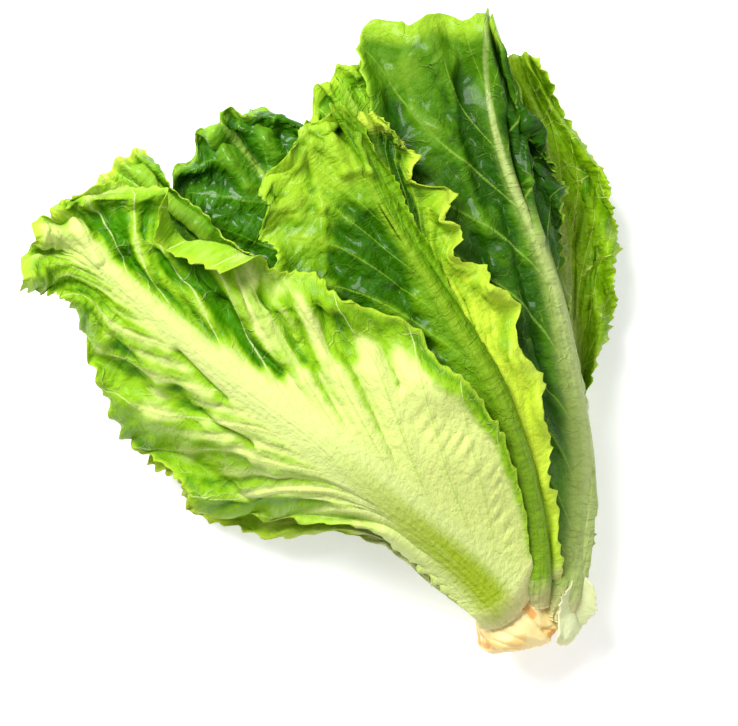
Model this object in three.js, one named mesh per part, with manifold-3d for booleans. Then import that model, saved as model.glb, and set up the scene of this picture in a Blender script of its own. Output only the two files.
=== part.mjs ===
// A head of romaine lettuce lying on its side, fanned out a little, with its cut stem, in millimetres, +Z up.
// +Y runs from the cut stem to the leaf tips. The origin is on the surface that the head lies on, under its middle.
// Every leaf is a thin waved blade on a thick rib. The leaves are layers of one swelling stack: a leaf's place
// between the lowest layer (-1) and the highest (+1) is its layer, and no two leaves share a layer where they meet.
import * as THREE from "three";
import { mergeVertices } from "three/addons/utils/BufferGeometryUtils.js";
import Module from "manifold-3d";

const wasm = await Module();
wasm.setup();

// Driving dimensions
const BLADE = 0.9; // thickness of a leaf blade
const GAP = 0.35; // clearance kept between pieces that touch
const HEAD_TURN = THREE.MathUtils.degToRad(-25); // turns the drawn plan so that the head's axis is +Y
const STEM_TURN = THREE.MathUtils.degToRad(10); // lean of the cut stem in the drawn plan, from its +Y
const STEM_RADIUS = 18;
const STEM_HEIGHT = 29; // height of the stem's axis over the surface
const STEM_HALF_STACK = 21; // half the thickness of the stack of leaves at the stem
const STACK_HEIGHT = 47.5; // height of the middle of the stack where it is thickest
const HALF_STACK = 45;
const TIP_HALF_STACK = 40;
const SIDE_DROOP = 26; // how far the leaves sink at the sides of the head
const TIP_LOBE = 3; // how far the lobes of a leaf's tip stand out
const REST_BELOW = 1.2; // what the lowest leaves hold under this height is pressed flat on the surface

// The plan: x to the right and y up as seen from above, from the middle of the stem
const AXIS = new THREE.Vector2(-Math.sin(-HEAD_TURN), Math.cos(HEAD_TURN));
const SIDE = new THREE.Vector2(AXIS.y, -AXIS.x);

const clamp = THREE.MathUtils.clamp;
const smooth = THREE.MathUtils.smoothstep;
const mix = THREE.MathUtils.lerp;

// Height of a layer of the stack over a point of the plan
function layerHeight(x, y, layer) {
  const along = x * AXIS.x + y * AXIS.y;
  const across = x * SIDE.x + y * SIDE.y;
  const halfWidth = 24 + 0.6 * Math.max(along, 0);
  const share = Math.abs(across) / halfWidth;
  const swell = smooth(along, 0, 120);
  const middle = mix(STEM_HEIGHT, STACK_HEIGHT, swell) - SIDE_DROOP * smooth(share, 0.55, 1.3) * swell;
  const half = mix(mix(STEM_HALF_STACK, HALF_STACK, swell), TIP_HALF_STACK, smooth(along, 180, 280));
  const round = Math.sqrt(1 - clamp(share, 0, 1) ** 3);
  return middle + layer * half * Math.max(round, 0.3);
}

// A list of values read as a smooth curve over 0 to 1
function curve(values, t) {
  const points = values.map((v) => new THREE.Vector3(...(Array.isArray(v) ? v : [v, 0]), 0));
  return new THREE.CatmullRomCurve3(points, false, "catmullrom", 0.5).getPoint(t);
}

// The leaves, outermost first. rib lists points of the plan from the stem to the tip, left and right the half
// widths along it, layer the layer from base to tip, lift how far the left and the right edge stand off that layer
// in layers, tip how far the tip's corners fall back, wave the height of the ruffles at the left and the right edge,
// ribSize the rib's half width and its height at the base. up is 1 where the rib bulges upwards.
const LEAVES = [
  {
    name: "leaf_front_left",
    rib: [[-4, 2], [-24, 28], [-55, 55], [-90, 86], [-128, 114], [-165, 145], [-191, 167], [-211, 181]],
    left: [9, 9, 10, 40, 48, 39, 27, 31],
    right: [13, 31, 54, 56, 47, 37, 30, 21],
    tip: 0.3,
    layer: [0.97, 1, 1],
    lift: [0, 0],
    wave: [7, 4],
    ribSize: [11, 6],
    up: 1,
    steps: [32, 12],
    seed: 3,
  },
  {
    name: "leaf_front_right",
    rib: [[15, 4], [24, 33], [28, 59], [27, 90], [20, 121], [11, 154], [0, 183], [-10, 209], [-16, 235], [-18, 268]],
    left: [7, 14, 21, 30, 42, 55, 62, 64, 62, 48],
    right: [4, 3, 3, 3, 4, 8, 13, 16, 12, 6],
    tip: 0.3,
    layer: [0.6, 0.52, 0.46],
    lift: [0, -0.25],
    wave: [4, 4],
    ribSize: [9, 6],
    up: 1,
    steps: [30, 10],
    seed: 5,
  },
  {
    name: "leaf_front_middle",
    rib: [[8, 12], [10, 40], [2, 73], [-12, 106], [-31, 136], [-48, 163], [-64, 189], [-77, 214], [-86, 230]],
    left: [8, 20, 35, 45, 55, 60, 58, 50, 32],
    right: [5, 6, 7, 8, 9, 10, 10, 9, 8],
    tip: 0.4,
    layer: [0.8, 0.79, 0.8],
    lift: [0, -0.1],
    wave: [4, 1],
    ribSize: [8, 4.5],
    up: 1,
    steps: [28, 10],
    seed: 7,
  },
  {
    name: "leaf_curled_edge",
    rib: [[9, 17], [7, 45], [-3, 75], [-16, 108], [-32, 138], [-45, 165], [-56, 190], [-66, 214], [-70, 228]],
    left: [6, 12, 18, 24, 28, 28, 24, 18, 10],
    right: [6, 9, 14, 22, 25, 24, 20, 18, 10],
    layer: [0.67, 0.67, 0.67],
    lift: [0, 0.04],
    wave: [1, 3],
    ribSize: [6, 2],
    up: 1,
    steps: [28, 8],
    seed: 11,
  },
  {
    name: "leaf_back_left",
    rib: [[-5, 9], [-29, 35], [-57, 64], [-88, 96], [-119, 130], [-147, 166], [-165, 191], [-178, 209]],
    left: [6, 12, 20, 28, 32, 30, 24, 14],
    right: [6, 12, 24, 34, 38, 32, 22, 13],
    layer: [0.45, 0.4, 0.4],
    lift: [0, 0],
    wave: [3, 4],
    ribSize: [6, 2],
    up: 1,
    steps: [18, 8],
    seed: 13,
  },
  {
    name: "leaf_back_right",
    rib: [[7, 20], [7, 51], [-2, 86], [-16, 121], [-33, 156], [-52, 191], [-70, 222], [-84, 247]],
    left: [6, 12, 24, 35, 40, 40, 34, 20],
    right: [6, 12, 22, 32, 38, 40, 34, 22],
    tip: 0.45,
    layer: [0.3, 0.24, 0.22],
    lift: [0, 0],
    wave: [4, 3],
    ribSize: [6, 2],
    up: 1,
    steps: [18, 8],
    seed: 17,
  },
  {
    name: "leaf_back_middle",
    rib: [[0, 18], [-11, 51], [-31, 90], [-55, 125], [-81, 161], [-106, 191], [-125, 214], [-136, 227]],
    left: [6, 12, 24, 34, 40, 38, 30, 16],
    right: [6, 12, 24, 34, 40, 38, 28, 16],
    layer: [0.12, 0.08, 0.06],
    lift: [0, 0],
    wave: [4, 4],
    ribSize: [6, 2],
    up: 1,
    steps: [18, 8],
    seed: 19,
  },
  {
    name: "leaf_heart_upper",
    rib: [[-1, 24], [-8, 55], [-20, 90], [-36, 124], [-52, 155], [-66, 180]],
    left: [6, 14, 24, 30, 28, 14],
    right: [6, 14, 24, 30, 28, 14],
    layer: [-0.06, -0.08, -0.08],
    lift: [0, 0],
    wave: [3, 3],
    ribSize: [5, 1.5],
    up: 1,
    steps: [14, 8],
    seed: 23,
  },
  {
    name: "leaf_heart_lower",
    rib: [[-3, 22], [-14, 52], [-32, 86], [-52, 118], [-72, 147], [-90, 170]],
    left: [6, 14, 24, 30, 26, 14],
    right: [6, 14, 24, 30, 28, 14],
    layer: [-0.2, -0.22, -0.22],
    lift: [0, 0],
    wave: [3, 3],
    ribSize: [5, 1.5],
    up: -1,
    steps: [14, 8],
    seed: 29,
  },
  {
    name: "leaf_far_right",
    rib: [[16, 6], [25, 34], [28, 64], [28, 95], [26, 125], [22, 156], [16, 187], [10, 218], [3, 248]],
    left: [6, 12, 22, 32, 40, 42, 38, 30, 16],
    right: [4, 4, 4, 5, 13, 21, 20, 15, 8],
    tip: 0.5,
    layer: [-0.36, -0.4, -0.3],
    lift: [0, 0.15],
    wave: [3, 6],
    ribSize: [5, 2.5],
    up: -1,
    steps: [26, 10],
    seed: 33,
  },
  {
    name: "leaf_low_left",
    rib: [[-10, 2], [-40, 25], [-76, 57], [-111, 84], [-144, 110], [-173, 135], [-194, 152]],
    left: [3, 4, 13, 45, 42, 32, 15],
    right: [8, 14, 30, 40, 40, 34, 18],
    layer: [-0.5, -0.55, -0.45],
    lift: [0.1, 0],
    wave: [6, 3],
    ribSize: [9, 3],
    up: -1,
    steps: [28, 10],
    seed: 37,
  },
  {
    name: "leaf_under_middle",
    rib: [[2, 4], [-10, 40], [-26, 80], [-44, 120], [-62, 158], [-80, 194], [-95, 224]],
    left: [9, 18, 26, 32, 34, 32, 18],
    right: [9, 18, 26, 32, 34, 32, 18],
    layer: [-1.02, -1.14, -1.12, -1.08, -1.02],
    lift: [0, 0],
    wave: [1.5, 1.5],
    ribSize: [10, 4.5],
    up: -1,
    steps: [18, 8],
    seed: 41,
  },
  {
    name: "leaf_under_left",
    rib: [[-12, 3], [-42, 33], [-74, 67], [-106, 103], [-136, 139], [-160, 168], [-178, 188]],
    left: [2, 4, 15, 30, 34, 28, 14],
    right: [5, 12, 28, 38, 40, 34, 16],
    layer: [-0.88, -1.05, -1.2, -1.1],
    lift: [0, 0.38],
    wave: [3, 1],
    ribSize: [8, 4.5],
    up: -1,
    steps: [18, 8],
    seed: 43,
  },
  {
    name: "leaf_under_right",
    rib: [[14, 6], [20, 42], [20, 82], [16, 122], [9, 160], [-1, 196], [-12, 228]],
    left: [5, 12, 28, 38, 42, 36, 16],
    right: [2, 3, 9, 17, 20, 19, 10],
    layer: [-0.8, -1.05, -1.3, -1.2],
    lift: [0.42, 0],
    wave: [1, 3],
    ribSize: [8, 4.5],
    up: -1,
    steps: [18, 8],
    seed: 47,
  },
];

const wave = (turns) => Math.sin(2 * Math.PI * turns);

// How far the lobes of the side margins stand out, as a share of the half width
function lobe(u, v, seed) {
  const shift = (v < 0 ? 0.29 : 0.83) * seed;
  return smooth(u, 0.15, 0.4) * (0.06 * wave(7 * u + shift) + 0.03 * wave(3 * shift * u));
}

// The middle surface of a leaf at u from base to tip and v from the left edge (-1) over the rib (0) to the right (1)
function leafPoint(leaf, u, v) {
  const on = curve(leaf.rib, u);
  const ahead = curve(leaf.rib, Math.min(u + 0.01, 1));
  const behind = curve(leaf.rib, Math.max(u - 0.01, 0));
  const run = new THREE.Vector2(ahead.x - behind.x, ahead.y - behind.y).normalize();
  const side = v < 0 ? leaf.left : leaf.right;
  const edge = Math.abs(v);
  const halfWidth = curve(side, u).x * (1 + edge ** 2 * lobe(u, v, leaf.seed));
  // a row of the blade bends forwards low on the leaf and backwards at its rounded tip
  const tipLobe = TIP_LOBE * smooth(u, 0.8, 1) * wave(2.2 * v + 0.41 * leaf.seed);
  const bend = mix(0.25, -(leaf.tip ?? 0.7), smooth(u, 0.45, 1)) * halfWidth * edge ** 1.7 + tipLobe;
  const x = on.x + run.y * halfWidth * v + run.x * bend;
  const y = on.y - run.x * halfWidth * v + run.y * bend;
  const lift = leaf.lift[v < 0 ? 0 : 1] * edge ** 2;
  const layer = curve(leaf.layer, u).x + lift;
  const rim = Math.max(edge, smooth(u, 0.75, 1));
  const ruffle = mix(...leaf.wave, (v + 1) / 2) * smooth(rim, 0.3, 1) * smooth(u, 0.12, 0.4);
  return new THREE.Vector3(x, y, layerHeight(x, y, layer) + ruffle * wave(5.5 * u + 1.6 * v + 0.37 * leaf.seed));
}

// How thick the leaf is: the blade, and the rib that swells over it and thins out towards the tip
function leafThickness(leaf, u, v) {
  const halfWidth = curve(v < 0 ? leaf.left : leaf.right, u).x;
  const ribWidth = mix(leaf.ribSize[0], 2, u ** 0.8);
  const ribHeight = mix(leaf.ribSize[1] - BLADE, 0.3, u ** 0.7);
  return BLADE + ribHeight * Math.exp(-(((halfWidth * v) / ribWidth) ** 2));
}

// A closed blade: the surface and its copy one thickness away, split into triangles alike, and a rim between them
function leafSolid(leaf, grow) {
  const [rows, columns] = leaf.steps;
  const positions = [];
  const at = (i, j, face) => 2 * (i * (columns + 1) + j) + face;
  for (let i = 0; i <= rows; i++) {
    for (let j = 0; j <= columns; j++) {
      const u = i / rows;
      const v = (2 * j) / columns - 1;
      const point = leafPoint(leaf, u, v);
      const du = leafPoint(leaf, Math.min(u + 0.02, 1), v).sub(leafPoint(leaf, Math.max(u - 0.02, 0), v));
      const dv = leafPoint(leaf, u, Math.min(v + 0.06, 1)).sub(leafPoint(leaf, u, Math.max(v - 0.06, -1)));
      const normal = dv.clone().cross(du).normalize();
      point.addScaledVector(dv.normalize(), grow * (Number(j === columns) - Number(j === 0)));
      point.addScaledVector(du.normalize(), grow * (Number(i === rows) - Number(i === 0)));
      const outer = point.clone().addScaledVector(normal, leaf.up * (leafThickness(leaf, u, v) + grow));
      const inner = point.clone().addScaledVector(normal, -leaf.up * grow);
      const [high, low] = leaf.up > 0 ? [outer, inner] : [inner, outer];
      if (low.z < REST_BELOW) low.z = 0;
      high.z = Math.max(high.z, low.z + BLADE);
      positions.push(...high.toArray(), ...low.toArray());
    }
  }
  const index = [];
  const quad = (a, b, c, d) => index.push(a, b, c, a, c, d);
  for (let i = 0; i < rows; i++) {
    for (let j = 0; j < columns; j++) {
      quad(at(i, j, 0), at(i, j + 1, 0), at(i + 1, j + 1, 0), at(i + 1, j, 0));
      index.push(at(i, j, 1), at(i + 1, j + 1, 1), at(i, j + 1, 1));
      index.push(at(i, j, 1), at(i + 1, j, 1), at(i + 1, j + 1, 1));
    }
  }
  for (let i = 0; i < rows; i++) {
    quad(at(i, 0, 1), at(i, 0, 0), at(i + 1, 0, 0), at(i + 1, 0, 1));
    quad(at(i, columns, 0), at(i, columns, 1), at(i + 1, columns, 1), at(i + 1, columns, 0));
  }
  for (let j = 0; j < columns; j++) {
    quad(at(0, j, 1), at(0, j + 1, 1), at(0, j + 1, 0), at(0, j, 0));
    quad(at(rows, j, 0), at(rows, j + 1, 0), at(rows, j + 1, 1), at(rows, j, 1));
  }
  const geometry = new THREE.BufferGeometry();
  geometry.setAttribute("position", new THREE.Float32BufferAttribute(positions, 3));
  geometry.setIndex(index);
  return solidOf(geometry);
}

// three.js geometry and closed solids
function solidOf(geometry) {
  const bare = geometry.clone();
  bare.deleteAttribute("normal");
  bare.deleteAttribute("uv");
  const merged = mergeVertices(bare, 1e-4);
  return new wasm.Manifold(
    new wasm.Mesh({
      numProp: 3,
      vertProperties: new Float32Array(merged.attributes.position.array),
      triVerts: new Uint32Array(merged.index.array),
    }),
  );
}

function geometryOf(solid) {
  const mesh = solid.getMesh();
  const geometry = new THREE.BufferGeometry();
  geometry.setAttribute("position", new THREE.Float32BufferAttribute(mesh.vertProperties, 3));
  geometry.setIndex(new THREE.Uint32BufferAttribute(mesh.triVerts, 1));
  geometry.computeVertexNormals();
  return geometry;
}

function largestBody(solid) {
  const bodies = solid.decompose();
  return bodies.reduce((best, body) => (body.volume() > best.volume() ? body : best), bodies[0]);
}

// The cut stem: a short knobbly cone with a flat cut face and shallow scars of the leaves that were pulled off
function stemSolid(grow) {
  const outline = [[0, -4], [15, -4], [17.5, -1], [STEM_RADIUS, 5], [17.5, 12], [15, 22], [10, 32], [5, 38], [0, 40]];
  const points = outline.map(([r, z], i) => {
    const ends = i === 0 || i === outline.length - 1;
    return new THREE.Vector2(ends ? 0 : r + grow, z + grow * (i < 2 ? -1 : i > 6 ? 1 : 0));
  });
  const geometry = new THREE.LatheGeometry(points, 20);
  const position = geometry.attributes.position;
  const point = new THREE.Vector3();
  for (let i = 0; i < position.count; i++) {
    point.fromBufferAttribute(position, i);
    const turn = Math.atan2(point.z, point.x);
    const knobs = 1 + 0.05 * Math.sin(3 * turn + 1) + 0.03 * Math.sin(5 * turn + point.y * 0.2);
    position.setXYZ(i, point.x * knobs, point.y, point.z * knobs);
  }
  geometry.rotateZ(STEM_TURN);
  geometry.translate(-3, -3, STEM_HEIGHT);
  return solidOf(geometry);
}

// The stub of a leaf that broke off, a pale scale beside the stem
const STUB = {
  name: "leaf_stub",
  rib: [[18, -4], [22, 6], [26, 15], [28, 22]],
  left: [4, 6, 7, 4],
  right: [2, 3, 3, 2],
  layer: [0.5, 0.35, 0.3],
  lift: [0, -0.2],
  wave: [0, 0],
  ribSize: [5, 2.2],
  up: 1,
  steps: [6, 6],
  seed: 1,
};

const GREENS = {
  leaf_front_left: 0xa9cc4e,
  leaf_front_right: 0x5f9a2e,
  leaf_front_middle: 0x77b32c,
  leaf_curled_edge: 0xa8cf3a,
  leaf_far_right: 0x86b92f,
  leaf_low_left: 0xa3c651,
};

const head = new THREE.Group();
const plan = new THREE.Group();
plan.rotation.z = HEAD_TURN;
head.add(plan);

function addPiece(name, solid, color) {
  const material = new THREE.MeshStandardMaterial({ color, roughness: 0.45, metalness: 0 });
  const mesh = new THREE.Mesh(geometryOf(solid), material);
  mesh.name = name;
  plan.add(mesh);
}

const stem = stemSolid(0);
const stemRoom = stemSolid(GAP);
addPiece("stem", stem, 0xe9dcae);

// A leaf gives way to the stem and to the leaves outside it
const outside = [];
for (const leaf of [...LEAVES, STUB]) {
  let solid = leafSolid(leaf, 0).subtract(stemRoom);
  for (const room of outside) {
    if (solid.intersect(room).volume() > 0) solid = solid.subtract(room);
  }
  addPiece(leaf.name, largestBody(solid), GREENS[leaf.name] ?? 0x6fa833);
  outside.push(leafSolid(leaf, GAP));
}

// The origin is on the surface, under the middle of the head's box
head.updateMatrixWorld(true);
const box = new THREE.Box3().setFromObject(head, true);
plan.position.set(-(box.min.x + box.max.x) / 2, -(box.min.y + box.max.y) / 2, -box.min.z);

export default head;
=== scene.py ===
"""A head of romaine lettuce that lies on its side on a pale studio floor, with fine ruffled leaves.

Every leaf is one formula on a grid of u, from the stem (0) to the tip (1), and v, from the left margin
(-1) over the rib (0) to the right margin (1). Lengths in the leaf table are millimetres of the same plan
that the solids are drawn on.
"""

import math
from dataclasses import dataclass

import bmesh
import bpy
import numpy as np
from bpy.props import FloatProperty, FloatVectorProperty, PointerProperty
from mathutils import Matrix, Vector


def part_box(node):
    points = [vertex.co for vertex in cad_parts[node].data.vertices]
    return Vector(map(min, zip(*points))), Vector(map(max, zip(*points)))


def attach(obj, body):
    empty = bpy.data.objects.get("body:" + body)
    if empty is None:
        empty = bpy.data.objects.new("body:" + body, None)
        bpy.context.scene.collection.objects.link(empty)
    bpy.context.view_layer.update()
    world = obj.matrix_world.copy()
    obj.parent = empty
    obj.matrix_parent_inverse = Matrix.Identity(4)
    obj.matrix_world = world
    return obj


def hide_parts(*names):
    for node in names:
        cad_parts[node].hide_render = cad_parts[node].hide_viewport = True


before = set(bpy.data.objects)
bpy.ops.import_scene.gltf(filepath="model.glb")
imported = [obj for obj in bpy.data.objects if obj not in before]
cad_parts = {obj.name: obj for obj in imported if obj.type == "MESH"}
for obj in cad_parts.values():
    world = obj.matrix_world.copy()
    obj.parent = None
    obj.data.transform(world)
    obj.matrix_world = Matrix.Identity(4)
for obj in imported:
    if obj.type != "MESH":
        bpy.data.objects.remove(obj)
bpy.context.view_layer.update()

bl_info = {
    "name": "Romaine lettuce head",
    "version": (1, 0, 0),
    "blender": (4, 5, 0),
    "location": "3D View > Sidebar > Lettuce",
    "description": "Builds the ruffled leaves, the cut stem and the stage of a head of romaine lettuce",
    "category": "Add Mesh",
}

MM = 0.001

# The plan of the head, in millimetres and as in the solids. The stack of leaves is STEM_HALF_STACK thick on
# each side of its middle at the stem, HALF_STACK at its thickest and TIP_HALF_STACK at the tips.
HEAD_TURN = math.radians(-25)  # turns the drawn plan so that the head's axis is +Y
STEM_TURN = math.radians(10)  # lean of the cut stem in the plan
STEM_RADIUS = 18.0
STEM_HEIGHT = 29.0
STEM_HALF_STACK = 21.0
STACK_HEIGHT = 47.5  # middle of the stack over the floor, where it is thickest
HALF_STACK = 45.0
TIP_HALF_STACK = 40.0
SIDE_DROOP = 26.0  # how far the sides of the stack hang down
TIP_LOBE = 3.0  # how far the lobes of a broad tip stand out
BROAD_TIP = 70.0  # width of such a tip
BASE_SINK = 7.0  # how far the leaves' bases dip into the stem
REST_BELOW = 1.2  # what the lowest leaves hold under this height is pressed flat on the surface
AXIS = np.array([-math.sin(-HEAD_TURN), math.cos(HEAD_TURN)])
SIDE = np.array([AXIS[1], -AXIS[0]])

# How a leaf is worked
LEAF_WAVES = 5.5  # ruffles along a leaf
LEAF_FRILLS = 16
LEAF_TEETH = 46
LEAF_QUILTS = 52
FOLD_SPAN = (280.0, 45.0)  # millimetres to one of u and to one of v, where a fold is laid out
TIP_TOOTH_PITCH = 12.0
SPAN_LENGTH = 2.8  # length and, in millimetres to one, width of the leaves' UV map
SPAN_WIDTH = 100.0

# The photograph: millimetres to a pixel, the pixel of the plan's origin, and the frame's size in pixels
PIXEL = 0.44
PLAN_ORIGIN_PIXEL = (525.0, 635.0)
FRAME_PIXELS = (738.0, 726.0)
FOCUS_HEIGHT = 50.0  # where that scale holds
CAMERA_HEIGHT = 2500.0  # over that height


@dataclass
class Leaf:
    """What sets one leaf apart: its plan, its layer in the stack, and how its blade is worked and tinted."""

    name: str
    rib: tuple
    left: tuple
    right: tuple
    layer: tuple
    seed: int
    grid: tuple
    look: str
    tip: object = 0.7
    lift: tuple = (0, 0)
    wave: tuple = (3, 3)
    rib_size: tuple = (6, 2)
    up: int = 1
    veins: float = 10.0
    sweep: float = 0.34
    pleat: tuple = (1.0, 1.0)
    valley: tuple = (2.0, 2.0)
    blister: float = 0.7
    frill: tuple = (1.5, 1.5)
    rolls: tuple = ()
    folds: tuple = ()
    ruffles: tuple = ()
    painted_light_and_tone: tuple = ()
    tooth: float = 1.0
    quilt: float = 0.0
    rays: float = 0.05
    pale: float = 0.4
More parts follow.
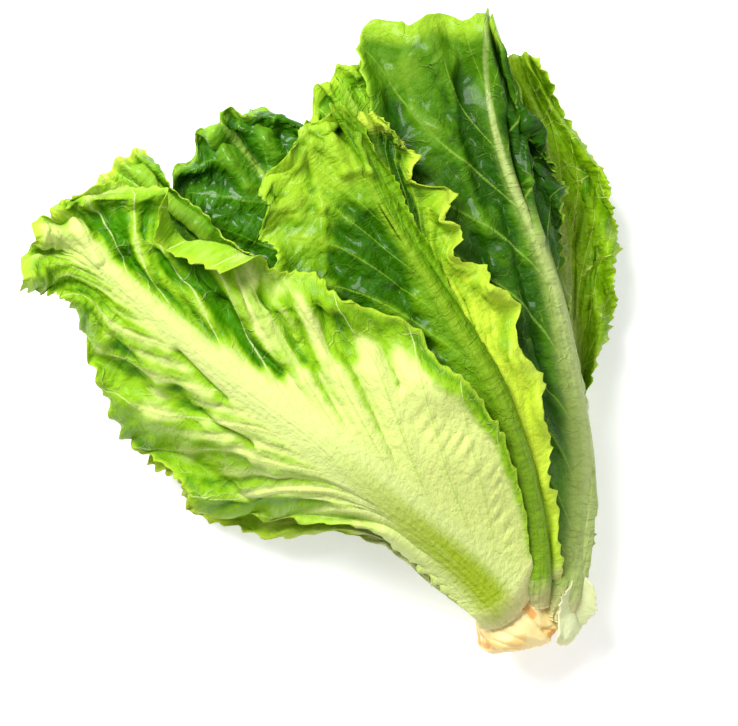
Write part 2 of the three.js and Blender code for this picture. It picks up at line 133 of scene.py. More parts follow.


# Each leaf starts with its name, rib, left, right, layer, seed, grid and look, in this order.
# rib: places of the plan that the rib runs through. left, right: half widths spread evenly along it.
# layer: height in the stack, from 1 at its top to -1 at its bottom. grid: rows and columns of quads.
# Pairs hold the left and the right value. rib_size: half width and height of the rib. up: 1 where the rib
# stands up from the blade, -1 where it stands down. pale: how far the colour next to the rib reaches.
# A roll is (side, from u, to u, edge where it starts, radius, degrees, how much wider the blade is there).
# A fold is (u, v, u, v, half width, height): a long crease between two places of the leaf.
# A ruffle is (side, edge where it starts, how far out, how far up): waves of a margin through spread values.
# A shade is (u, v, reach in u, reach in v, amount): a darker patch of the blade, or a paler one below zero.
# These are partly the leaf's own tone, partly painted shade where the blade sinks into valleys and painted
# light where it lies raised in the light.
LEAVES = [
    Leaf(
        "leaf_front_left",
        ((-7, 7), (-25, 29), (-55, 55), (-90, 86), (-128, 114), (-165, 145), (-191, 167), (-211, 181)),
        (8, 12, 14, 13, 14, 33, 57, 48, 53, 47, 40, 24, 21, 23, 32),
        (20, 26, 41, 56, 60, 62, 58, 57, 48, 51, 39, 38, 41, 34, 16), (0.97, 1, 1), 3, (250, 150),
        "front_left", tip=0.3, wave=(7, 4), rib_size=(15, 6), veins=11, pleat=(1.2, 1.6),
        valley=(2.4, 3.0), blister=0.8,
        folds=(
            (0.9, 0.42, 0.8, 0.24, 4, -4.5), (0.8, 0.24, 0.62, 0.15, 4, -5),
            (0.76, 0.53, 0.55, 0.22, 3, -5), (0.72, 0.66, 0.64, 0.45, 3, -7),
            (0.64, 0.45, 0.52, 0.25, 3, -7), (0.6, 0.76, 0.5, 0.4, 2.6, -5),
            (0.56, 0.82, 0.48, 0.44, 2.4, -4), (0.5, 0.78, 0.46, 0.52, 2, -3),
            (0.47, 0.82, 0.44, 0.68, 3, -4), (0.42, 0.85, 0.38, 0.66, 2.4, -3),
            (0.64, -0.16, 0.56, -0.2, 2, -4), (0.57, -0.44, 0.49, -0.42, 1.8, -3.5),
            (0.61, -0.43, 0.57, -0.52, 4, -4), (0.71, -0.6, 0.65, -0.61, 5, -3),
            (0.53, -0.68, 0.48, -0.55, 3, -3), (0.44, -0.8, 0.36, -0.62, 4, -3),
            (0.99, 0.3, 0.83, 0.05, 2.5, 3.5),
        ),
        frill=(3.2, 1.3), quilt=1.25, rays=0.28, pale=0.8,
        painted_light_and_tone=(
            (0.85, 0.3, 0.08, 0.3, 0.15), (0.97, 0.75, 0.06, 0.3, -0.3), (0.3, 0.55, 0.16, 0.4, -0.5),
            (0.22, -0.6, 0.1, 0.5, -0.3), (0.58, 0.62, 0.12, 0.3, -0.28), (0.55, -0.6, 0.2, 0.3, -0.3),
            (0.5, -0.98, 0.22, 0.26, 0.35), (0.28, 1.0, 0.2, 0.17, 0.5), (0.36, 0.95, 0.08, 0.12, 0.4),
            (0.46, 0.9, 0.05, 0.14, 0.45), (0.2, 0.98, 0.14, 0.07, 0.35), (0.42, 0.8, 0.1, 0.25, -0.3),
            (0.95, -0.3, 0.1, 0.4, -0.25),
        ),
        rolls=((1, 0.6, 0.86, 0.82, 3.0, 150, 0.25),),
    ),
    Leaf(
        "leaf_front_right",
        (
            (15, 4), (24, 33), (26.5, 59), (25, 90), (18.5, 121), (11, 154), (0, 183), (-10, 209),
            (-16, 235), (-18, 272),
        ),
        (7, 14, 21, 30, 42, 55, 60, 60, 57, 48), (4, 4, 3.5, 3, 2, 1.5, 3, 5, 6, 14, 18, 21, 21, 19, 5),
        (0.6, 0.52, 0.46), 5, (230, 110), "front_right", tip=(0.04, 1.4), lift=(0, -0.25), wave=(4, 4),
        rib_size=(9, 6), veins=8, pleat=(0.8, 1.2), valley=(2.0, 3.0), blister=0.9,
        folds=(
            (0.63, 0.13, 0.73, 0.33, 2, 2.5), (0.73, 0.33, 0.86, 0.64, 2, 2.5),
            (0.86, 0.64, 0.97, 0.64, 2, 2), (0.7, 0.14, 0.86, 0.36, 3, -5),
            (0.76, 0.6, 0.92, 0.86, 4, -4), (0.95, -0.27, 0.66, -0.3, 1.8, 1.8),
            (0.92, -0.2, 0.72, -0.17, 5, -5), (0.95, -0.68, 0.89, -0.62, 1.8, 1.5),
            (0.89, -0.62, 0.84, -0.33, 1.8, 1.5), (0.9, -0.75, 0.75, -0.7, 6, -4),
            (0.7, -0.12, 0.4, -0.3, 2, -2.5), (0.66, -0.4, 0.36, -0.6, 2.5, -2.5),
        ),
        rays=0.14, frill=(1.8, 2.6), pale=0.2,
        painted_light_and_tone=(
            (0.95, -0.5, 0.1, 0.5, -0.3), (0.6, 0.6, 0.4, 0.5, 0.7), (0.55, -0.4, 0.15, 0.4, 0.25),
        ),
    ),
    Leaf(
        "leaf_front_middle",
        (
            (6, 12), (5.5, 40), (-1, 73), (-13, 106), (-31, 136), (-48, 163), (-64, 189), (-77, 214),
            (-86, 230),
        ),
        (8, 20, 35, 45, 55, 60, 54, 50, 45), (3, 3, 3.5, 4.5, 6, 8, 10, 9, 8), (0.8, 0.79, 0.8), 7,
        (210, 100), "front_middle", tip=0.4, lift=(0, -0.1), wave=(4, 1), rib_size=(8, 4.5), veins=10,
        pleat=(1.4, 0.3), valley=(4.5, 0.5), blister=0.8,
        folds=(
            (0.94, 0.0, 0.84, 0.1, 3, -7), (0.98, -0.1, 0.83, -0.14, 2.5, 3.5),
            (0.83, -0.14, 0.81, 0.2, 2.5, 3.5), (0.81, 0.2, 0.9, 0.5, 2.5, 3),
            (0.94, -0.3, 0.8, -0.45, 1.6, 1.6), (0.8, -0.45, 0.7, -0.62, 1.6, 1.6),
            (0.9, -0.42, 0.82, -0.5, 4, -3), (0.78, -0.3, 0.7, -0.5, 7, -2.5),
            (0.74, -0.14, 0.6, -0.2, 4, -4), (0.6, -0.2, 0.42, -0.34, 3, -2),
            (0.66, -0.5, 0.5, -0.6, 4, -3),
        ),
        rays=0.16, tooth=0.6, frill=(1.6, 0.4), pale=0.2,
        painted_light_and_tone=(
            (0.7, -0.15, 0.07, 0.25, 0.3), (0.66, -0.35, 0.09, 0.3, 0.3), (0.45, -0.2, 0.15, 0.3, 0.1),
            (0.9, -0.6, 0.12, 0.4, -0.75), (0.84, -0.2, 0.1, 0.3, -0.4),
            (0.72, -0.85, 0.08, 0.25, -0.25),
        ),
    ),
    Leaf(
        "leaf_curled_edge",
        ((9, 17), (7, 45), (-3, 75), (-16, 108), (-32, 138), (-45, 165), (-56, 190), (-66, 214), (-70, 228)),
        (6, 12, 18, 24, 28, 28, 24, 18, 10), (6, 7, 8.5, 11, 17, 20, 22, 26, 16, 17, 20, 15, 13, 14, 6),
        (0.67, 0.67, 0.67), 11, (240, 70), "curled_edge", lift=(-0.16, 0.04), wave=(1, 3),
        rib_size=(6, 2), veins=12, pleat=(0.4, 0.6), blister=0.6, frill=(0.6, 1.0), pale=0.5,
        painted_light_and_tone=(
            (0.98, 0.1, 0.2, 0.75, 0.8), (0.75, 0.0, 0.12, 0.35, 0.7), (0.5, 0.8, 0.3, 0.5, -0.32),
            (0.1, 0.7, 0.2, 0.6, -0.6),
        ),
        ruffles=(
            (
                1, 0.35, (0, 1, -1, 1, -1, 2, -1, 3, -1, 3, -3, 4, -4, 4, -5, 5, -5, 2, -2, 0, 0),
                (2, 4, 5, 4, 5, 3, 6, 2, 7, 2, 9, 1, 10, 3, 10, 1, 6, 2, 2, 0, 0),
            ),
        ),
    ),
    Leaf(
        "leaf_back_left",
        ((-5, 9), (-29, 35), (-57, 64), (-88, 96), (-119, 130), (-147, 166), (-165, 191), (-178, 209)),
        (6, 12, 20, 25, 24, 21, 18, 15), (6, 12, 24, 32, 26, 18, 12, 12), (0.45, 0.4, 0.4), 13,
        (150, 84), "back_left", tip=0.2, wave=(3, 3), veins=8, pleat=(0.4, 0.4), valley=(0.8, 0.8),
        blister=0.8, folds=((0.94, 0.3, 0.73, 0.72, 6, 4.5),), frill=(0.3, 0.3), tooth=0.15, pale=0.12,
        painted_light_and_tone=((0.98, 0.0, 0.09, 0.9, -0.75),),
    ),
    Leaf(
        "leaf_back_right",
        ((7, 20), (7, 51), (-2, 86), (-16, 121), (-33, 156), (-52, 191), (-70, 222), (-84, 247)),
        (6, 12, 20, 26, 28, 30, 31, 25), (6, 12, 22, 32, 38, 40, 34, 22), (0.3, 0.24, 0.22), 17,
        (150, 84), "back_right", tip=(0.7, 0.0), wave=(4, 3), veins=8, blister=1.3, frill=(1.0, 1.0),
        tooth=0.5, pale=0.4, painted_light_and_tone=((0.8, -0.6, 0.08, 0.5, 0.6),),
    ),
    Leaf(
        "leaf_back_middle",
        ((0, 18), (-11, 51), (-31, 90), (-55, 125), (-81, 161), (-106, 191), (-125, 214), (-136, 227)),
        (6, 12, 24, 32, 36, 37, 38, 36), (6, 12, 24, 34, 40, 40, 32, 22), (0.12, 0.08, 0.06), 19,
        (150, 84), "back_middle", tip=(0.3, 0.7), wave=(4, 4), veins=8, blister=1.2,
        folds=((0.98, -0.12, 0.78, -0.22, 4, 5), (0.95, 0.4, 0.8, 0.3, 4, 4), (0.97, 0.15, 0.8, 0.05, 4, -4)),
        frill=(0.9, 0.9), tooth=0.4, pale=0.1,
    ),
    Leaf(
        "leaf_heart_upper", ((-1, 24), (-8, 55), (-20, 90), (-36, 124), (-52, 155), (-66, 180)),
        (6, 14, 24, 30, 28, 14), (6, 14, 24, 30, 28, 14), (-0.06, -0.08, -0.08), 23, (100, 60), "heart",
        rib_size=(5, 1.5), veins=7,
    ),
    Leaf(
        "leaf_heart_lower", ((-3, 22), (-14, 52), (-32, 86), (-52, 118), (-72, 147), (-90, 170)),
        (6, 14, 24, 30, 26, 14), (6, 14, 24, 30, 28, 14), (-0.2, -0.22, -0.22), 29, (100, 60), "heart",
        rib_size=(5, 1.5), up=-1, veins=7,
    ),
    Leaf(
        "leaf_far_right",
        ((14, 6), (20, 34), (22, 64), (23, 95), (22, 125), (20, 156), (16, 187), (9, 220), (-2, 256)),
        (6, 12, 22, 32, 40, 42, 38, 32, 20), (3, 1.5, 1, 1, 1, 1, 5, 14, 19, 21, 23, 24, 17, 10, 6),
        (-0.36, -0.4, -0.3), 33, (190, 96), "far_right", tip=0.5, lift=(0, 0.15), wave=(3, 6),
        rib_size=(5, 2.5), up=-1, veins=9, blister=0.8,
        folds=(
            (0.56, 0.05, 0.69, 0.2, 1.5, 1.6), (0.69, 0.2, 0.76, 0.46, 1.5, 1.6),
            (0.76, 0.46, 0.82, 0.3, 1.3, 1.4), (0.66, 0.18, 0.62, 0.5, 1.3, 1.4),
            (0.62, 0.5, 0.74, 0.75, 1.3, 1.4), (0.6, 0.46, 0.5, 0.4, 1.3, 1.4),
        ),
        frill=(1.4, 1.2), pale=0.48,
    ),
    Leaf(
        "leaf_low_left",
        ((-10, 2), (-40, 25), (-76, 57), (-111, 84), (-144, 110), (-173, 135), (-194, 152)),
        (1, 1, 2, 3, 20, 42, 44, 40, 37, 29, 24, 18, 12), (8, 14, 30, 40, 40, 34, 18),
        (-0.5, -0.55, -0.45), 37, (190, 100), "low_left", lift=(0.1, 0), wave=(6, 3), rib_size=(9, 3),
        up=-1, veins=9, blister=1.2, frill=(2.6, 1.0), tooth=0.8, pale=0.6,
    ),
    Leaf(
        "leaf_under_middle",
        ((2, 4), (-10, 40), (-26, 80), (-44, 120), (-62, 158), (-80, 194), (-95, 224)),
        (9, 18, 26, 32, 34, 32, 18), (9, 18, 26, 32, 34, 32, 18), (-1.02, -1.14, -1.12, -1.08, -1.02),
        41, (140, 80), "under", wave=(1.5, 1.5), rib_size=(10, 4.5), up=-1, veins=9,
    ),
    Leaf(
        "leaf_under_left",
        ((-12, 3), (-42, 33), (-74, 67), (-106, 103), (-136, 139), (-160, 168), (-178, 188)),
        (1, 2, 12, 30, 34, 28, 14), (5, 12, 28, 38, 40, 34, 16), (-0.88, -1.05, -1.2, -1.1), 43,
        (140, 80), "under", lift=(0, 0.38), wave=(3, 1), rib_size=(8, 4.5), up=-1, veins=9,
        frill=(2.4, 1.0),
    ),
    Leaf(
        "leaf_under_right", ((14, 6), (20, 42), (20, 82), (16, 122), (9, 160), (-1, 196), (-12, 228)),
        (5, 12, 28, 38, 42, 36, 16), (1, 1, 2, 10, 18, 19, 10), (-0.8, -1.05, -1.3, -1.2), 47, (140, 80),
        "under", lift=(0.42, 0), wave=(1, 3), rib_size=(8, 4.5), up=-1, veins=9, frill=(1.0, 2.4),
    ),
    Leaf(
        "leaf_stub", ((16, -3), (20, 6), (24, 15), (27, 25)), (2, 6, 8, 5), (4, 7, 9, 5),
        (0.74, 0.92, 1.05), 1, (48, 36), "stub", lift=(0.15, -0.2), wave=(0, 0), rib_size=(5, 2.2),
        veins=1, pleat=(0, 0), valley=(0, 0), blister=0, frill=(0.2, 0.2), tooth=0.25,
    ),
]

LEAF_OF = {leaf.name: leaf for leaf in LEAVES}
FRONT_LEAVES = ("leaf_front_left", "leaf_front_right", "leaf_front_middle", "leaf_curled_edge")
BACK_LEAVES = ("leaf_back_left", "leaf_back_right", "leaf_back_middle", "leaf_far_right", "leaf_low_left")
HEART_LEAVES = ("leaf_heart_upper", "leaf_heart_lower")
UNDER_LEAVES = ("leaf_under_middle", "leaf_under_left", "leaf_under_right")

# Colours of each kind of leaf, as hex sRGB, for these parts of it. The folds' dark green is partly painted
# shade of valleys and creases, and the bright margin is partly painted light through the thin edge.
TINTED_PARTS = ("Near rib", "Blade", "Folds and shade", "Veins", "Rib", "Rib flank", "Margin")
BASE_COLOUR = "f0e4a8"  # where a leaf grows from the stem
LOOKS = {
    "front_left": ("dae788", "94c41e", "448600", "dfea9c", "a2bb28", "d6e48c", "b0d234"),
    "front_right": ("729c26", "4a7c08", "245204", "8fb440", "aabd6c", "93aa50", "9cc62c"),
    "front_middle": ("98c028", "6c9e0e", "2e6200", "8cb42c", "7ca41a", "669410", "a4cc2c"),
    "curled_edge": ("cfe63e", "8cba1c", "245600", "c8e048", "a0c02c", "a8cc30", "c8e244"),
    "back_left": ("8cbc2c", "5c9a0a", "2c6400", "a4cc48", "a0c43c", "a0c43c", "d4ee50"),
    "back_right": ("a8d23c", "86bc20", "3f8204", "c4e058", "a8cc44", "a8cc44", "b4dc34"),
    "back_middle": ("609418", "3a7406", "1e5000", "78a82c", "8cb040", "84aa3c", "8cbc2c"),
    "heart": ("d8e484", "8fbe28", "4d8a04", "d4e688", "d8e498", "e0eaa8", "b8d838"),
    "far_right": ("b0d42c", "8cbc0e", "4a8400", "d6e86c", "bcd070", "a8c454", "b0d42c"),
    "low_left": ("e6ee84", "b0d234", "6a9c0c", "dcea98", "dfe89c", "e9eeac", "c4da44"),
    "under": ("dbe690", "86b824", "4a8a04", "d2e692", "cfdf88", "dce8a4", "b0d434"),
    "stub": ("e2e8b8", "d8dfa4", "b4c488", "ecf0cc", "dfe6b4", "dae2ac", "eceac8"),
}


def hex_colour(text):
    """Linear colour of a hex sRGB text."""
    parts = np.array([int(text[i : i + 2], 16) / 255 for i in (0, 2, 4)])
    linear = np.where(parts <= 0.04045, parts / 12.92, ((parts + 0.055) / 1.055) ** 2.4)
    return (*map(float, linear), 1.0)


# Curves and noise, all on whole arrays


def smooth(x, low, high):
    """0 under low, 1 over high, and 3t^2 - 2t^3 between."""
    t = np.clip((x - low) / (high - low), 0, 1)
    return t * t * (3 - 2 * t)


def mix(a, b, t):
    """a where t is 0, b where it is 1, and straight between."""
    return a + (b - a) * t


def wave(turns):
    """A sine with one full wave for each whole turn."""
    return np.sin(2 * np.pi * turns)


def through(values, t):
    """A Catmull-Rom curve through values spread evenly over t from 0 to 1, its ends carried on straight."""
    points = np.array(values, float)
    if points.ndim == 1:
        points = points[:, None]
    points = np.concatenate([[2 * points[0] - points[1]], points, [2 * points[-1] - points[-2]]])
    place = np.clip(t, 0, 1) * (len(points) - 3)
    at = np.minimum(place.astype(int), len(points) - 4)
    f = (place - at)[..., None]
    before, start, end, after = (points[at + k] for k in range(4))
    cubic = 3 * (start - end) + after - before
    square = 2 * before - 5 * start + 4 * end - after
    out = start + 0.5 * f * (end - before + f * (square + f * cubic))
    return out[..., 0] if out.shape[-1] == 1 else out


def noise_line(x, seed):
    """Random values from -1 to 1 at whole numbers of x, joined smoothly."""
    table = np.random.default_rng(seed).uniform(-1, 1, 256)
    low = np.floor(x).astype(int)
    return mix(table[low % 256], table[(low + 1) % 256], smooth(x - low, 0, 1))


def noise_sheet(x, y, seed):
    """Random values from -1 to 1 at the whole places of a square lattice, joined smoothly."""
    table = np.random.default_rng(seed).uniform(-1, 1, (64, 64))
    i, j = np.floor(x).astype(int), np.floor(y).astype(int)
    fx, fy = smooth(x - i, 0, 1), smooth(y - j, 0, 1)
    low = mix(table[i % 64, j % 64], table[(i + 1) % 64, j % 64], fx)
    high = mix(table[i % 64, (j + 1) % 64], table[(i + 1) % 64, (j + 1) % 64], fx)
    return mix(low, high, fy)


def teeth(x, seed):
    """Hooked teeth one apart, which rise slowly and fall fast, each with a random height from 0.1 to 1."""
    height = 0.55 + 0.45 * np.random.default_rng(seed).uniform(-1, 1, 256)[np.floor(x).astype(int) % 256]
    place = x % 1
    return height * np.minimum(place / 0.7, (1 - place) / 0.3) ** 1.2


# The leaves


def layer_height(x, y, layer):
    """Height of a layer of the stack over a place of the plan: the stack swells from the stem, thins towards
    its sides and droops there."""
    along = x * AXIS[0] + y * AXIS[1]
    across = x * SIDE[0] + y * SIDE[1]
    half_width = 24 + 0.6 * np.maximum(along, 0)
    share = np.abs(across) / half_width
    swell = smooth(along, 0, 120)
    middle = mix(STEM_HEIGHT, STACK_HEIGHT, swell) - SIDE_DROOP * smooth(share, 0.55, 1.3) * swell
    half = mix(mix(STEM_HALF_STACK, HALF_STACK, swell), TIP_HALF_STACK, smooth(along, 180, 280))
    return middle + layer * half * np.maximum(np.sqrt(1 - np.clip(share, 0, 1) ** 3), 0.3)


def lobe(u, v, seed):
    """How far the lobes of the side margins stand out, as a share of the half width."""
    shift = np.where(v < 0, 0.29, 0.83) * seed
    return smooth(u, 0.15, 0.4) * (0.06 * wave(7 * u + shift) + 0.03 * wave(3 * shift * u))


def side_value(pair, v):
    """The left value left of the rib and the right value right of it."""
    return np.where(v < 0, pair[0], pair[1])


def rolled(across, up, start, roll, amount):
    """Carries the blade beyond start round a circle of the roll's radius until it has turned by its angle,
    and straight on from there."""
    _, _, _, _, radius, degrees, _ = roll
    bend = np.maximum(amount, 1e-4) / radius
    limit = math.radians(degrees)
    past = np.maximum(across - start, 0)
    turned = np.minimum(past * bend, limit)
    rest = past - turned / bend
    out = np.sin(turned) / bend + rest * np.cos(turned)
    rise = (1 - np.cos(turned)) / bend + rest * np.sin(turned)
    return np.where(across > start, start + out, across), up + np.where(across > start, rise, 0)


def vein_turn(leaf, u, v):
    """Side veins lie where this is whole. They leave the rib almost along it and sweep out to the margin."""
    edge = np.abs(v)
    drift = 0.35 * noise_sheet(3 * u + 7, 2.2 * v + 9, leaf.seed)
    return leaf.veins * (u - leaf.sweep * edge**0.62) + drift + side_value((0.15, 0.6), v)


def blade_relief(leaf, sizes, u, v, half_width):
    """What stands out of the blade on its rib side: side veins, pleats that sink between them, spindle-shaped
    valleys along them, blisters, quilts and folds. Also gives the veins' turns, the valleys and the folds."""
    edge = np.abs(v)
    room = smooth(half_width, 4, 26)
    turn = vein_turn(leaf, u, v)
    crest = np.abs(2 * (turn % 1) - 1)
    away = smooth(edge * half_width, 0.4 * leaf.rib_size[0], mix(1.4, 0.9, u) * leaf.rib_size[0])
    reach = smooth(u, 0.16, 0.42) * (1 - 0.75 * smooth(edge, 0.55, 1))
    depth = side_value(leaf.pleat, v) * (0.75 + 0.5 * noise_line(turn // 1 * 1.7 + 0.5, leaf.seed + 5))
    pleats = depth * (crest**1.4 - 0.45) * away * reach
    ridge = sizes.vein_height * smooth(crest, 0.84, 1) * away * smooth(u, 0.06, 0.25) * (1 - 0.6 * edge)
    spindles = noise_sheet(1.9 * turn + 40, 2.1 * edge + 30 + 11 * (v > 0), leaf.seed + 4)
    wrinkles = noise_sheet(4.6 * turn + 40, 5.5 * edge + 30 + 11 * (v > 0), leaf.seed + 6)
    band = smooth(u, 0.24, 0.45) * smooth(edge, 0.12, 0.35) * (1 - smooth(edge, 0.8, 1))
    between = smooth(1 - crest, 0.15, 0.85)
    open_here = smooth(noise_line(np.floor(turn) + 0.5, leaf.seed), -0.9, 0.2)
    sunk = band * between * (0.25 + 0.75 * smooth(spindles, -0.25, 0.55)) * open_here
    valleys = -side_value(leaf.valley, v) * (sunk + 0.25 * smooth(wrinkles, 0.1, 0.8) * band)
    x, y = u * 48, v * 9
    bumps = noise_sheet(x, y, leaf.seed + 2) + 0.6 * noise_sheet(2.1 * x + 5, 2.1 * y, leaf.seed + 3)
    blisters = leaf.blister * bumps * away * smooth(u, 0.2, 0.5) * (1 - smooth(crest, 0.7, 1))
    place = 0.66 + 0.1 * noise_line(50 * u + 4, leaf.seed + 14)
    quilts = leaf.quilt * wave(LEAF_QUILTS * u + 2 * v + 0.5 * noise_line(20 * u, leaf.seed + 15))
    quilts = quilts * (0.6 + 0.4 * noise_line(36 * u, 8))
    quilts = quilts * np.exp(-(((edge - place) / 0.09) ** 2)) * (v > 0)
    quilts = quilts * smooth(u, 0.08, 0.16) * (1 - smooth(u, 0.34, 0.44))
    creases = np.zeros_like(u)
    for u0, v0, u1, v1, width, height in leaf.folds:
        along, across = (u1 - u0) * FOLD_SPAN[0], (v1 - v0) * FOLD_SPAN[1]
        from_u, from_v = (u - u0) * FOLD_SPAN[0], (v - v0) * FOLD_SPAN[1]
        place = np.clip((from_u * along + from_v * across) / (along**2 + across**2), 0, 1)
        off = np.hypot(from_u - place * along, from_v - place * across)
        creases += height * np.exp(-((off / width) ** 2))
    return room * (pleats + ridge + valleys + blisters) + quilts + creases, turn, sunk * room, creases


def grid_normals(points):
    """Unit normals of a grid of points, on the side that v times u turns towards."""
    du = np.gradient(points, axis=0)
    dv = np.gradient(points, axis=1)
    normal = np.cross(dv, du)
    return normal / np.maximum(np.linalg.norm(normal, axis=2, keepdims=True), 1e-9)


def leaf_sheet(leaf, sizes):
    """The middle surface of a leaf in the plan, in millimetres, and the values that its material reads.

    A row runs across the rib, bent forwards low on the leaf and backwards at the tip. Its height is the
    leaf's layer of the stack, with ruffles that grow towards the margin, finer frills and teeth at the margin
    itself, the margin's rolls, and the blade's relief along the normal."""
    rows, columns = leaf.grid
    u, v = np.meshgrid(np.linspace(0, 1, rows + 1), np.linspace(-1, 1, columns + 1), indexing="ij")
    edge = np.abs(v)
    on = through(leaf.rib, u)
    run = through(leaf.rib, np.minimum(u + 0.01, 1)) - through(leaf.rib, np.maximum(u - 0.01, 0))
    run /= np.linalg.norm(run, axis=2, keepdims=True)
    width = np.where(v < 0, through(leaf.left, u), through(leaf.right, u))
    half_width = width * (1 + edge**2 * lobe(u, v, leaf.seed))
    rim = np.maximum(edge, smooth(u, 0.75, 1))
    fine = smooth(u, 0.05, 0.3) if leaf.look != "stub" else 0.3

    calm = np.ones_like(u)
    for side, start_u, end_u, *_ in leaf.rolls:
        calm = calm - 0.8 * np.where(v * side > 0, smooth(u, start_u - 0.03, start_u + 0.03), 0) * (u < end_u)
    frill = side_value(leaf.frill, v) * sizes.frill * fine * calm
    beat = LEAF_FRILLS * u + 1.6 * v + 1.3 * noise_line(9 * u + 31 * (v > 0), leaf.seed + 7)
    reach = rim**6 * (0.65 + 0.35 * noise_line(13 * u + 17 * (v > 0), leaf.seed + 8))
    pitch = LEAF_TEETH * u + 0.7 * wave(3 * u + 0.1 * leaf.seed)
    tooth = sizes.tooth * leaf.tooth * teeth(pitch, leaf.seed + 9)
    toothed = tooth * edge**14 * smooth(width, 2.5, 6)
    across = half_width * edge + 0.55 * frill * reach * wave(beat + 0.25) + toothed
    up = frill * reach * wave(beat)

    for side, start_edge, outs, ups in leaf.ruffles:
        share = np.where(v * side > 0, smooth(edge, start_edge, 1) ** 1.3, 0)
        across = across + through(outs, u) * share
        up = up + through(ups, u) * share

    for roll in leaf.rolls:
        side, start_u, end_u, start_edge, _, _, wider = roll
        ramp = 0.25 * (end_u - start_u)
        on_side = np.where(v * side > 0, 1.0, 0.0)
        amount = on_side * smooth(u, start_u, start_u + ramp) * (1 - smooth(u, end_u - ramp, end_u + 0.02))
        stretch = 1 + wider * amount * smooth(edge, start_edge, 1)
        across, up = rolled(across * stretch, up, half_width * start_edge, roll, amount)

    broad = min(1.0, (leaf.left[-1] + leaf.right[-1]) / BROAD_TIP)
    tip_lobe = TIP_LOBE * broad * smooth(u, 0.8, 1) * wave((0.8 + 1.4 * broad) * v + 0.41 * leaf.seed)
    tip_count = max(1.5, (leaf.left[-1] + leaf.right[-1]) / TIP_TOOTH_PITCH)
    tip_teeth = 0.8 * sizes.tooth * leaf.tooth * teeth(tip_count * v + 50, leaf.seed + 11)
    tip_teeth = tip_teeth * smooth(u, 0.97, 1)
    tip = side_value(leaf.tip if isinstance(leaf.tip, tuple) else (leaf.tip, leaf.tip), v)
    bend = mix(0.25, -tip, smooth(u, 0.45, 1)) * half_width * edge**1.7 + tip_lobe + tip_teeth
    signed = across * np.sign(v)
    x = on[..., 0] + run[..., 1] * signed + run[..., 0] * bend
    y = on[..., 1] - run[..., 0] * signed + run[..., 1] * bend
    layer = through(leaf.layer, u) + side_value(leaf.lift, v) * edge**2
    ruffle = mix(*leaf.wave, (v + 1) / 2) * smooth(rim, 0.3, 1) * smooth(u, 0.12, 0.4)
    z = layer_height(x, y, layer) + ruffle * wave(LEAF_WAVES * u + 1.6 * v + 0.37 * leaf.seed) + up
    z = z - BASE_SINK * (1 - smooth(u, 0, 0.05))

    points = np.stack([x, y, z], axis=2)
    relief, turn, sunk, creases = blade_relief(leaf, sizes, u, v, half_width)
    points = points + (leaf.up * relief)[..., None] * grid_normals(points)
    rib_width = mix(leaf.rib_size[0], 2, smooth(u, -0.2, 0.95))
    away = 0.75 * u + 0.55 * edge - leaf.pale
    mottle = noise_sheet(26 * u + 3, 5 * v + 12, leaf.seed + 12)
    mottle = mottle + 0.5 * noise_sheet(60 * u, 12 * v + 30, leaf.seed + 13)
    tone = 0.5 * smooth(away, -0.32, 0.32) + 0.16 * mottle * smooth(away, -0.4, 0.1)
    rays = 1 - smooth(np.abs(2 * ((2 * turn) % 1) - 1), 0.2, 0.9)
    rays = rays * smooth(edge, 0.08, 0.25) * (1 - smooth(edge, 0.6, 0.9)) * smooth(u, 0.16, 0.35)
    # Darker in sunk valleys and sunken folds, paler on raised relief and fold ridges: the valleys' darkening
    # is partly their own deeper green and partly painted shade, and the ridges' paleness is painted light
    tone = tone + 0.13 * sunk * side_value(leaf.valley, v) - 0.05 * relief - 0.09 * creases + leaf.rays * rays
    # Patches of painted shade and painted light, partly the leaf's own tone
    for u0, v0, reach_u, reach_v, amount in leaf.painted_light_and_tone:
        tone = tone + amount * np.exp(-(((u - u0) / reach_u) ** 2) - ((v - v0) / reach_v) ** 2)
    values = {
        "turn": turn,
        "tone": np.clip(tone, -0.2, 1.2),
        "rib": np.exp(-((half_width * v / rib_width) ** 2)),
        "edge": rim,
        "along": u,
        "side": v,
    }
    span = np.stack([u * SPAN_LENGTH, half_width * v / SPAN_WIDTH], axis=2)
    return points, values, span, half_width


def leaf_faces(leaf, sizes):
    """The two faces of a leaf: its middle surface and that surface moved along its normals by the thickness,
    which is the blade's with a bell-shaped rib on it, thinned out at the margin. What the lowest leaves hold
    near the floor is pressed flat on it."""
    points, values, span, half_width = leaf_sheet(leaf, sizes)
    u = values["along"]
    rib_height = mix(leaf.rib_size[1] - sizes.blade, 0.3, u**0.7)
    lines = 0.12 * wave(values["side"] * half_width / 2.3 + 2 * noise_line(6 * u, leaf.seed)) * values["rib"]
    thick = sizes.blade * mix(1, 0.45, values["edge"] ** 8) + (rib_height + lines * (1 - u)) * values["rib"]
    outer = points + (leaf.up * thick)[..., None] * grid_normals(points)
    high, low = (outer, points) if leaf.up > 0 else (points, outer)
    low[..., 2] = np.where(low[..., 2] < REST_BELOW, 0.0, low[..., 2])
    high[..., 2] = np.maximum(high[..., 2], low[..., 2] + 0.4)
    return high, low, values, span


def closed_grid(rows, columns):
    """Quads over the upper face, under the lower face and round the rim between them, where each face is a
    grid with this many rows and columns of quads."""
    number = np.arange((rows + 1) * (columns + 1)).reshape(rows + 1, columns + 1)
    a, b, c, d = number[:-1, :-1], number[:-1, 1:], number[1:, 1:], number[1:, :-1]
    top = np.stack([a, b, c, d], axis=-1).reshape(-1, 4)
    bottom = (top + number.size)[:, ::-1]
    ring = np.concatenate([number[0, :], number[1:, -1], number[-1, -2::-1], number[-2:0:-1, 0]])
    after = np.roll(ring, -1)
    rim = np.stack([after, ring, ring + number.size, after + number.size], axis=-1)
    return np.concatenate([top, bottom, rim])


